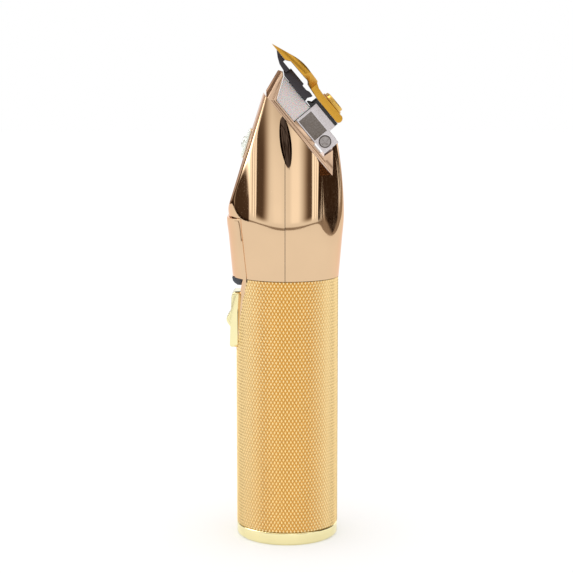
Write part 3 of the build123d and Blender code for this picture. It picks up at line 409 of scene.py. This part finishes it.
def softened(node, radius_mm):
    """A copy of a CAD node with its sharp edges rounded, so that they catch the light."""
    source = frame["nodes"][node]
    piece = bpy.data.objects.new(f"{node}_fine", source.data.copy())
    bpy.context.scene.collection.objects.link(piece)
    bm = bmesh.new()
    bm.from_mesh(piece.data)
    bmesh.ops.remove_doubles(bm, verts=bm.verts, dist=WELD_DISTANCE)
    bmesh.ops.dissolve_limit(bm, angle_limit=FLAT_ANGLE, verts=bm.verts, edges=bm.edges)
    bm.to_mesh(piece.data)
    bm.free()
    bevel = piece.modifiers.new("round", "BEVEL")
    bevel.width, bevel.segments = radius_mm * MM, ROUND_SEGMENTS
    bevel.limit_method, bevel.angle_limit = "ANGLE", ROUND_ANGLE
    bevel.use_clamp_overlap = True
    bake_modifiers(piece)
    shade(piece, angle=34.0)
    finish_piece(piece, node)


# ---- The knurled grip -----------------------------------------------------------------------
def knurled_grip():
    """The grip tube with real diamonds: pyramids with small flat tops between crossing grooves."""
    step = KNURL_PITCH / 2
    rows = 2 * ceil((GRIP_HIGH.z - GRIP_LOW.z) / KNURL_PITCH) + 4
    low = (GRIP_LOW.z + GRIP_HIGH.z - rows * step) / 2
    pitch = 2 * pi / KNURL_COUNT
    groove_r = GRIP_R - KNURL_DEPTH
    verts, faces = [], []

    def put(radius, angle, z):
        verts.append((radius * cos(angle), radius * sin(angle), z))
        return len(verts) - 1

    def crossing(row, index):
        return row * KNURL_COUNT + index % KNURL_COUNT

    for row in range(rows + 1):
        for index in range(KNURL_COUNT):
            put(groove_r, (index + (row % 2) / 2) * pitch, low + row * step)
    for row in range(1, rows):
        shift = row % 2
        for index in range(KNURL_COUNT):
            left, right = crossing(row, index), crossing(row, index + 1)
            over, under = crossing(row + 1, index + shift), crossing(row - 1, index + shift)
            middle = (index + shift / 2 + 0.5) * pitch
            z = low + row * step
            reach, rise = KNURL_LAND * pitch / 2, KNURL_LAND * step
            top = [
                put(GRIP_R, middle - reach, z),
                put(GRIP_R, middle, z - rise),
                put(GRIP_R, middle + reach, z),
                put(GRIP_R, middle, z + rise),
            ]
            corners = [left, under, right, over]
            faces.append(top)
            faces += [(corners[i], corners[(i + 1) % 4], top[(i + 1) % 4], top[i]) for i in range(4)]
    bores = []
    for row, next_row in ((0, 1), (rows, rows - 1)):
        for index in range(KNURL_COUNT):
            a, b = crossing(row, index), crossing(row, index + 1)
            between = crossing(next_row, index + row % 2)
            faces.append((a, b, between) if row else (b, a, between))
        inner = [put(GRIP_BORE, index * pitch, low + row * step) for index in range(KNURL_COUNT)]
        bores.append(inner)
        for i in range(KNURL_COUNT):
            j = (i + 1) % KNURL_COUNT
            faces.append((crossing(row, i), crossing(row, j), inner[j], inner[i]))
    for i in range(KNURL_COUNT):
        j = (i + 1) % KNURL_COUNT
        faces.append((bores[0][i], bores[0][j], bores[1][j], bores[1][i]))
    piece = new_object("barrel_knurled", verts, faces)
    face_outwards(piece)
    past = 30 * MM  # well past the grip's radius
    cut(piece, slab("foot_cut", (-past, -past, -past), (past, past, GRIP_LOW.z)))
    cut(piece, slab("top_cut", (-past, -past, GRIP_HIGH.z), (past, past, GRIP_HIGH.z + past)))
    cut(piece, tongue_cutter())
    finish_piece(piece, "barrel")


def tongue_outline(clear):
    """The switch housing's front outline over the grip, grown by clear, as (x, z) points."""
    wide, narrow = 10.2 * MM + clear, 4.2 * MM + clear
    foot, bend = 59.3 * MM - clear, 63.5 * MM
    chord, depth = narrow, bend - foot
    radius = (chord**2 + depth**2) / (2 * depth)
    half = degrees(atan2(chord, radius - depth))
    arc = [
        (radius * sin(radians(a)), foot + radius * (1 - cos(radians(a))))
        for a in np.linspace(half, -half, 25)
    ]
    top = HEAD_BASE + 2 * MM
    return [(wide, top), (wide, HEAD_BASE), *arc, (-wide, HEAD_BASE), (-wide, top)]


def tongue_cutter():
    """The room for the switch housing in the front of the grip."""
    return prism("tongue_cutter", tongue_outline(0.1 * MM), -30 * MM, -2 * MM, "Y")


knurled_grip()


# ---- The head: one soft-edged form, cut into its two shells ---------------------------------
# The turned band as (height, radius) pairs, and the walls that cut it back, in millimetres.
BAND = [(82.9, 16.15), (95.5, 17.3), (99.6, 17.9), (103.5, 18.9), (109.5, 20.6), (150.0, 20.6)]
FACET_LEAN, FACET_R, CHIN_R, CHIN_Z = radians(17.5), 45.0, 18.75, 103.5  # the round front facet
FRONT_BEVEL = ((11.6, -12.85, 104.5), (0.682, -0.721, 0.117))  # a point, and the outward normal
BACK_BEVEL = ((14.1, 10.5, 96.0), (0.579, 0.811, 0.087))
BACK_R, BACK_Z, BACK_SWEEP = 17.75, 100.0, 140.0  # above BACK_Z the back curves in by the sweep
HEAD_WALL, FLARE_TOP, FORM_TOP = 1.3, 107.0, 147.0
SEAM_Y, SEAM_GAP = -0.67, 0.08  # each shell stops the gap short of the seam
CORE_LAP = 0.5  # the hollow runs this far past the seam
NOTCH_Y, NOTCH_Z = 13.9, 114.4  # the lowest edge of the sloping notch
LIP_TOP, LIP_LAP = 125.0, 0.1  # the rear lip's height, and how far its cut laps the notch
PLENUM_FLOOR = 112.0  # above this the rear shell's inside is open to the back
TONGUE_HALF_W, TONGUE_TOP = 10.3, 101.6  # the slot in the front shell for the switch housing
OPENING = ((-8.5, 13.5, -14.5), (8.5, 31.0, -8.5))  # the drive's way out, in the blade's frame
CLEAR, CLEAR_TOP = 40.0, 175.0  # past the whole head, sideways and upwards
BROAD_SOFT, EDGE_SOFT = 0.62, 0.25  # rounding between band and panels, and along the bevels
BAND_BLEND, BAND_SAMPLES = 0.8, 9  # the band's corners are averaged this far up and down
AHEAD_LEAST, FAR_OFF = 1e-4, 99.0  # for rays that lead along a plane or away from it


def soft_min(walls, soft):
    """The least of several distances, rounded off where two are nearly equal."""
    walls = np.array(walls)
    least = walls.min(axis=0)
    return least - soft * np.log(np.exp(-(walls - least) / soft).sum(axis=0))


def to_bar(ray, z, foot, axis, radius):
    """Distance along level rays from the Z axis to the far side of a leaning round bar."""
    axis = np.array(axis)[:, None]
    start = np.stack([0 * z - foot[0], 0 * z - foot[1], z - foot[2]])
    start = start - axis * (start * axis).sum(0)
    across = ray - axis * (ray * axis).sum(0)
    a, b, c = (across**2).sum(0), (start * across).sum(0), (start**2).sum(0) - radius**2
    return (-b + np.sqrt(np.maximum(b * b - a * c, 0.0))) / a


def to_plane(ray, z, point, normal):
    """Distance along level rays from the Z axis to a plane, or far off where they lead away from it."""
    ahead = ray[0] * normal[0] + ray[1] * normal[1]
    gap = normal[0] * point[0] + normal[1] * point[1] + normal[2] * (point[2] - z)
    return np.where(ahead > AHEAD_LEAST, gap / np.maximum(ahead, AHEAD_LEAST), FAR_OFF)


def mirrored_plane(plane, sign):
    """The plane's point and normal, on the +X side (1) or the -X side (-1)."""
    (px, py, pz), (nx, ny, nz) = plane
    return (sign * px, py, pz), (sign * nx, ny, nz)


def head_radius(angle, z, side):
    """The head's outer radius in millimetres at angles and heights, on its front (-1) or rear (1) side."""
    ray = np.stack([np.cos(angle), np.sin(angle), 0 * angle])
    band_z, band_r = zip(*BAND)
    shifts = np.linspace(-BAND_BLEND, BAND_BLEND, BAND_SAMPLES)
    turned = np.mean([np.interp(z + d, band_z, band_r) for d in shifts], axis=0)
    broad, walls = [turned], []
    for sign in (1, -1):
        foot = (sign * (PANEL_X - PANEL_R * cos(PANEL_LEAN)), 0, PANEL_Z - PANEL_R * sin(PANEL_LEAN))
        broad.append(to_bar(ray, z, foot, (-sign * sin(PANEL_LEAN), 0, cos(PANEL_LEAN)), PANEL_R))
        bevel = FRONT_BEVEL if side < 0 else BACK_BEVEL
        walls.append(to_plane(ray, z, *mirrored_plane(bevel, sign)))
    if side < 0:
        foot = (0, -CHIN_R + FACET_R * cos(FACET_LEAN), CHIN_Z - FACET_R * sin(FACET_LEAN))
        walls.append(to_bar(ray, z, foot, (0, sin(FACET_LEAN), cos(FACET_LEAN)), FACET_R))
    else:
        rise = np.maximum(z - BACK_Z, 0.0)
        walls.append(BACK_R - BACK_SWEEP + np.sqrt(BACK_SWEEP**2 - rise**2))
    return soft_min([soft_min(broad, BROAD_SOFT), *walls], EDGE_SOFT)


def head_half(name, side, inset, seam_y, low, rows, columns):
    """One closed half of the head's form, up to the seam plane and moved in by inset."""
    lower_rows = rows // 2
    lower = np.linspace(low, FLARE_TOP, lower_rows)
    upper = np.linspace(FLARE_TOP, FORM_TOP, rows - lower_rows + 1)[1:]
    heights = [*lower, *upper]
    count = columns + 1
    verts, faces = [], []
    for z in heights:
        edge_r = head_radius(np.array([0.0]), np.array([float(z)]), side)[0] - inset
        dip = np.arcsin(seam_y / edge_r)
        ends = (dip, pi - dip) if side > 0 else (pi - dip, 2 * pi + dip)
        angle = np.linspace(*ends, count)
        radius = head_radius(angle, 0 * angle + z, side) - inset
        verts += [(r * cos(a) * MM, r * sin(a) * MM, z * MM) for r, a in zip(radius, angle)]
    for row in range(len(heights) - 1):
        base = row * count
        faces += [(base + i, base + i + 1, base + count + i + 1, base + count + i) for i in range(columns)]
        faces.append((base + columns, base, base + count, base + count + columns))
    faces.append(tuple(range(count)))
    faces.append(tuple(range((len(heights) - 1) * count, len(heights) * count)))
    piece = new_object(name, verts, faces)
    face_outwards(piece)
    return piece


def notch_cutter(drop):
    """The sloping notch under the blade unit, lowered by drop millimetres."""
    low = NOTCH_Z - drop / cos(BLADE_ANGLE)
    outline = [
        (NOTCH_Y - CLEAR, low + CLEAR * tan(BLADE_ANGLE)),
        (NOTCH_Y, low),
        (NOTCH_Y, CLEAR_TOP),
        (NOTCH_Y - CLEAR, CLEAR_TOP),
    ]
    return prism("notch", [(y * MM, z * MM) for y, z in outline], -CLEAR * MM, CLEAR * MM, "X")


def cut_box(low, high):
    """A box between two corners given in millimetres."""
    return slab("box", [v * MM for v in low], [v * MM for v in high])


def head_opening():
    """The opening under the blade unit that the drive comes out of."""
    piece = cut_box(*OPENING)
    piece.data.transform(BLADE_FRAME)
    return piece


def scoop_cutter(sign, grow):
    """The spindle that cuts the leaf-shaped scoop down one side seam, grown by a margin."""
    belly = (SCOOP_HALF_W**2 / SCOOP_DEPTH + SCOOP_DEPTH) / 2
    sweep = (SCOOP_HALF_H**2 / SCOOP_DEPTH + SCOOP_DEPTH) / 2
    half_length = sqrt(2 * sweep * belly - belly**2)
    widest = belly + grow
    arc_r = (half_length**2 + widest**2) / (2 * widest)
    sides, rings = 72, 60
    turns = [2 * pi * i / sides for i in range(sides)]
    verts, faces = [(0, 0, -half_length * MM)], []
    for k in range(1, rings):
        z = half_length * (2 * k / rings - 1)
        r = sqrt(arc_r**2 - z**2) - (arc_r - widest)
        verts += [(r * cos(a) * MM, r * sin(a) * MM, z * MM) for a in turns]
    verts.append((0, 0, half_length * MM))
    for i in range(sides):
        j = (i + 1) % sides
        faces.append((0, 1 + j, 1 + i))
        last = 1 + (rings - 2) * sides
        faces.append((len(verts) - 1, last + i, last + j))
        for k in range(rings - 2):
            ring = 1 + k * sides
            faces.append((ring + i, ring + j, ring + sides + j, ring + sides + i))
    piece = new_object("scoop", verts, faces)
    face_outwards(piece)
    panel_x = PANEL_X - (SCOOP_Z - PANEL_Z) * tan(PANEL_LEAN)
    centre_x = panel_x + (belly - SCOOP_DEPTH) * cos(PANEL_LEAN)
    level = cos(SCOOP_LEAN)
    along = Vector((-sin(PANEL_LEAN) * level, -sin(SCOOP_LEAN), cos(PANEL_LEAN) * level))
    turn = along.to_track_quat("Z", "Y").to_matrix().to_4x4()
    place = Matrix.Translation(Vector((centre_x, SCOOP_Y, SCOOP_Z)) * MM) @ turn
    if sign < 0:
        place = Matrix.Scale(-1, 4, (1, 0, 0)) @ place
    piece.data.transform(place)
    face_outwards(piece)
    return piece


def head_shell(node, side):
    """One shell of the head: the soft-edged outside, hollowed, notched and scooped."""
    fine_rows, fine_columns = ((230, 250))
    core_rows, core_columns = 60, 60
    foot = HEAD_BASE / MM
    seam = SEAM_Y + side * SEAM_GAP
    shell = head_half(f"{node}_form", side, 0.0, seam, foot, fine_rows, fine_columns)
    core_seam = SEAM_Y - side * CORE_LAP
    core = head_half("core", side, HEAD_WALL, core_seam, foot - 1, core_rows, core_columns)
    cut(core, notch_cutter(HEAD_WALL))
    cut(core, cut_box((-CLEAR, NOTCH_Y - HEAD_WALL, PLENUM_FLOOR), (CLEAR, CLEAR, CLEAR_TOP)))
    for sign in (1, -1):
        cut(core, scoop_cutter(sign, HEAD_WALL))
    cut(shell, core)
    cut(shell, notch_cutter(0.0))
    cut(shell, head_opening())
    for sign in (1, -1):
        cut(shell, scoop_cutter(sign, 0.0))
    if side > 0:
        cut(shell, cut_box((-CLEAR, NOTCH_Y - LIP_LAP, LIP_TOP), (CLEAR, CLEAR, CLEAR_TOP)))
    else:
        cut(shell, cut_box((-TONGUE_HALF_W, -30, foot - 2), (TONGUE_HALF_W, 0, TONGUE_TOP)))
    shade(shell, angle=30.0)
    finish_piece(shell, node)


head_shell("head_front_shell", -1)
head_shell("head_rear_shell", 1)

# ---- Edges of the other visible nodes -------------------------------------------------------
EDGES_MM = {
    "end_cap": 0.12,
    "switch_housing": 0.15,
    "switch_plate": 0.15,
    "switch_slider": 0.12,
    "indicator_lens": 0.12,
    "front_badge": 0.08,
    "blade_tray": 0.10,
    "blade_carrier": 0.12,
    "blade_bracket": 0.10,
    "ear_screws": 0.06,
    "fixed_blade": 0.05,
    "blade_screws": 0.06,
    "cutter_blade": 0.04,
    "cutter_carriage": 0.08,
}
for node, radius in EDGES_MM.items():
    softened(node, radius)


# ---- Studio ---------------------------------------------------------------------------------
FLOOR_HALF, FLOOR_BASE, FLOOR_GLOW = 3, 0.74, 0.29  # metres, and shares of white


def studio_floor():
    """A white floor that glows a little, so that only a faint shadow shows on it."""
    far = FLOOR_HALF
    corners = [(-far, -far, 0), (far, -far, 0), (far, far, 0), (-far, far, 0)]
    floor = new_object("floor", corners, [(0, 1, 2, 3)])
    material = bpy.data.materials.new("floor_white")
    nodes = Nodes(material)
    nodes.set(Base_Color=(FLOOR_BASE, FLOOR_BASE, FLOOR_BASE, 1.0), Roughness=1.0, Specular_IOR_Level=0.0)
    nodes.set(Emission_Color=(1.0, 1.0, 1.0, 1.0), Emission_Strength=FLOOR_GLOW)
    floor.data.materials.append(material)


# Dark cards and bright strips round the set, which only reflections show. Angles in degrees, from
# the lens side (+X) towards +Y: start and end of the rise, start and end of the fall, then
# brightness low down and high up, lowest height and its softness, top height, lean with height.
# The brightness is a share of the sky's, and cards that overlap multiply.
RAGGED = 0.5  # a lowest height that marks a card with a ragged foot
UNTOPPED = 90  # the top height of a card that reaches the zenith
CARDS = [
    (-60, -58, -47, -28, 0.10, 0.50, 2.0, 6.0, UNTOPPED, 0.4),
    (-96, -88, -62, -60, 1.35, 1.2, 3.0, 3.0, UNTOPPED, 0.0),
    (-67, -66, -65, -64, 0.45, 0.6, 3.0, 3.0, UNTOPPED, 0.0),
    (-75, -74, -72, -71, 0.50, 0.7, 3.0, 3.0, UNTOPPED, 0.0),
    (-31, -22, -14, -5, 1.10, 0.95, 3.0, 4.0, UNTOPPED, 0.0),
    (3, 11, 19, 27, 1.20, 1.22, 3.0, 4.0, UNTOPPED, 0.0),
    (22, 42, 47, 48, 0.12, 0.40, 2.0, 6.0, UNTOPPED, 0.0),
    (48, 50, 72, 78, 1.35, 1.5, 3.0, 3.0, UNTOPPED, 0.0),
    (53, 54, 55, 56, 0.50, 0.7, 3.0, 3.0, UNTOPPED, 0.0),
    (61, 62, 64, 65, 0.45, 0.6, 3.0, 3.0, UNTOPPED, 0.0),
    (74, 78, 128, 134, 0.04, 0.06, RAGGED, 0.5, UNTOPPED, 0.0),
    (134, 135, 150, 166, 1.30, 1.3, -5.0, 1.0, UNTOPPED, 0.0),
    (-170, -160, -150, -146, 0.55, 0.55, -5.0, 1.0, UNTOPPED, 0.0),
    (-146, -140, -114, -111, 0.10, 0.40, -5.0, 1.0, UNTOPPED, 0.0),
    (-114, -108, -84, -80, 0.07, 0.07, -5.0, 1.0, 5.6, 0.0),
    (-114, -111, -97, -92, 4.5, 5.0, 6.6, 1.0, UNTOPPED, 0.0),
    (-97, -92, -84, -79, 2.2, 1.6, 6.6, 1.0, UNTOPPED, 0.0),
]
TOP_SOFT = 1.0  # how softly a card's top fades, in degrees
RAGGED_SCALE, RAGGED_REACH = 0.35, 9.0  # how often a ragged foot wavers, and by how many degrees
RISE_LOW, RISE_HIGH = 12.5, 18.5  # the heights between which low brightness turns into high
LEAN_LEVEL = 14.0  # the height at which a leaning card stands at its listed angles
HORIZON_LINES = [(-0.8, 1.5, 0.36)]  # height, half width and brightness
HORIZON_CORE = 0.4  # the share of a horizon line's half width that is at full strength
SKY = [  # height as a share of 90 degrees, and the sky's brightness there
    (0.0, 0.82),
    (0.10, 0.90),
    (0.15, 0.90),
    (0.19, 0.70),
    (0.23, 0.52),
    (0.35, 0.66),
    (0.6, 0.85),
    (1.0, 0.90),
]
SKY_GAIN = 1.2  # multiplies the brightnesses in SKY
WARMTH = (0.0, 0.17, 0.32)  # powers for red, green and blue: the dimmer the light, the warmer


def studio_world():
    """White all round for the eye and for soft light, with cards that reflections show."""
    world = bpy.data.worlds.new("studio")
    bpy.context.scene.world = world
    world.use_nodes = True
    world.cycles.sampling_method = "NONE"  # its light differs by kind of ray
    tree = world.node_tree
    tree.nodes.clear()

    def add(kind, **settings):
        node = tree.nodes.new(kind)
        for key, value in settings.items():
            setattr(node, key, value)
        return node

    def feed(node, i, value):
        if isinstance(value, (int, float)):
            node.inputs[i].default_value = value
        else:
            tree.links.new(value, node.inputs[i])

    def math(operation, *values):
        node = add("ShaderNodeMath", operation=operation)
        for i, value in enumerate(values):
            feed(node, i, value)
        return node.outputs[0]

    def step(value, low, high):
        """0 below low, 1 above high, smooth between them."""
        node = add("ShaderNodeMapRange", interpolation_type="SMOOTHSTEP")
        feed(node, 0, value)
        node.inputs["From Min"].default_value = low
        node.inputs["From Max"].default_value = high
        return node.outputs[0]

    def within(value, rise_start, rise_end, fall_start, fall_end):
        """1 between a rise and a fall, 0 outside them."""
        risen = step(value, rise_start, rise_end)
        fallen = step(value, fall_start, fall_end)
        return math("MULTIPLY", risen, math("SUBTRACT", 1.0, fallen))

    where = add("ShaderNodeTexCoord")
    split = add("ShaderNodeSeparateXYZ")
    tree.links.new(where.outputs["Generated"], split.inputs[0])
    x, y, z = split.outputs
    azimuth = math("MULTIPLY", math("ARCTAN2", y, x), 180 / pi)
    height = math("MULTIPLY", math("ARCSINE", z), 180 / pi)
    ragged = add("ShaderNodeTexNoise", noise_dimensions="1D")
    ragged.inputs["Scale"].default_value = RAGGED_SCALE
    feed(ragged, "W", azimuth)
    wander = math("MULTIPLY", math("SUBTRACT", ragged.outputs[0], 0.5), RAGGED_REACH)
    rough_height = math("ADD", height, wander)
    sky = add("ShaderNodeFloatCurve")
    points = sky.mapping.curves[0].points
    points[0].location, points[1].location = SKY[0], SKY[-1]
    for place in SKY[1:-1]:
        points.new(*place)
    sky.mapping.update()
    feed(sky, "Value", math("DIVIDE", math("MAXIMUM", height, 0.0), 90.0))
    light = math("MULTIPLY", sky.outputs[0], SKY_GAIN)
    for level, half, bright in HORIZON_LINES:
        core = half * HORIZON_CORE
        mask = within(height, level - half, level - core, level + core, level + half)
        light = math("MULTIPLY", light, math("SUBTRACT", 1.0, math("MULTIPLY", mask, 1.0 - bright)))
    rise = step(height, RISE_LOW, RISE_HIGH)
    for *edges, bright, bright_high, lowest, soft, top, lean in CARDS:
        turned = math("SUBTRACT", azimuth, math("MULTIPLY", math("SUBTRACT", height, LEAN_LEVEL), lean))
        level = rough_height if lowest == RAGGED else height
        mask = math("MULTIPLY", within(turned, *edges), step(level, lowest, lowest + soft))
        if top < UNTOPPED:
            mask = math("MULTIPLY", mask, math("SUBTRACT", 1.0, step(height, top, top + TOP_SOFT)))
        change = math("ADD", bright - 1.0, math("MULTIPLY", rise, bright_high - bright))
        light = math("MULTIPLY", light, math("ADD", 1.0, math("MULTIPLY", mask, change)))
    seen = add("ShaderNodeLightPath")
    plain = math("MAXIMUM", seen.outputs["Is Camera Ray"], seen.outputs["Is Diffuse Ray"])
    strength = math("ADD", plain, math("MULTIPLY", math("SUBTRACT", 1.0, plain), light))
    background = add("ShaderNodeBackground")
    warm = add("ShaderNodeCombineColor")
    for channel, power in enumerate(WARMTH):
        feed(warm, channel, math("POWER", math("MINIMUM", strength, 1.0), power))
    tree.links.new(warm.outputs[0], background.inputs["Color"])
    tree.links.new(strength, background.inputs["Strength"])
    out = add("ShaderNodeOutputWorld")
    tree.links.new(background.outputs[0], out.inputs[0])


def soft_lamp(name, place, target, size, power):
    lamp = bpy.data.lights.new(name, "AREA")
    lamp.shape, lamp.size, lamp.energy = "SQUARE", size, power
    piece = bpy.data.objects.new(name, lamp)
    bpy.context.scene.collection.objects.link(piece)
    piece.location = place
    piece.rotation_euler = (Vector(target) - Vector(place)).to_track_quat("-Z", "Y").to_euler()


# The camera's place in metres, its dip below level, and its focal length in millimetres.
LENS_DISTANCE = 0.48126
LENS_HEIGHT = 0.14775
LENS_ASIDE = -0.00022
LENS_DIP = radians(8.105)
LENS_MM = 97.28


def studio_camera():
    camera = bpy.data.cameras.new("camera")
    camera.sensor_width, camera.lens = 36.0, LENS_MM
    camera.clip_start, camera.clip_end = 0.01, 20.0
    piece = bpy.data.objects.new("camera", camera)
    bpy.context.scene.collection.objects.link(piece)
    piece.location = (LENS_DISTANCE, LENS_ASIDE, LENS_HEIGHT)
    piece.rotation_euler = (pi / 2 - LENS_DIP, 0.0, pi / 2)
    bpy.context.scene.camera = piece


studio_floor()
studio_world()
studio_camera()
soft_lamp("over", place=(0.1, 0.0, 1.2), target=(0, 0, 0.05), size=1.2, power=1.2)
view = bpy.context.scene.view_settings
view.view_transform, view.look = "Standard", "None"
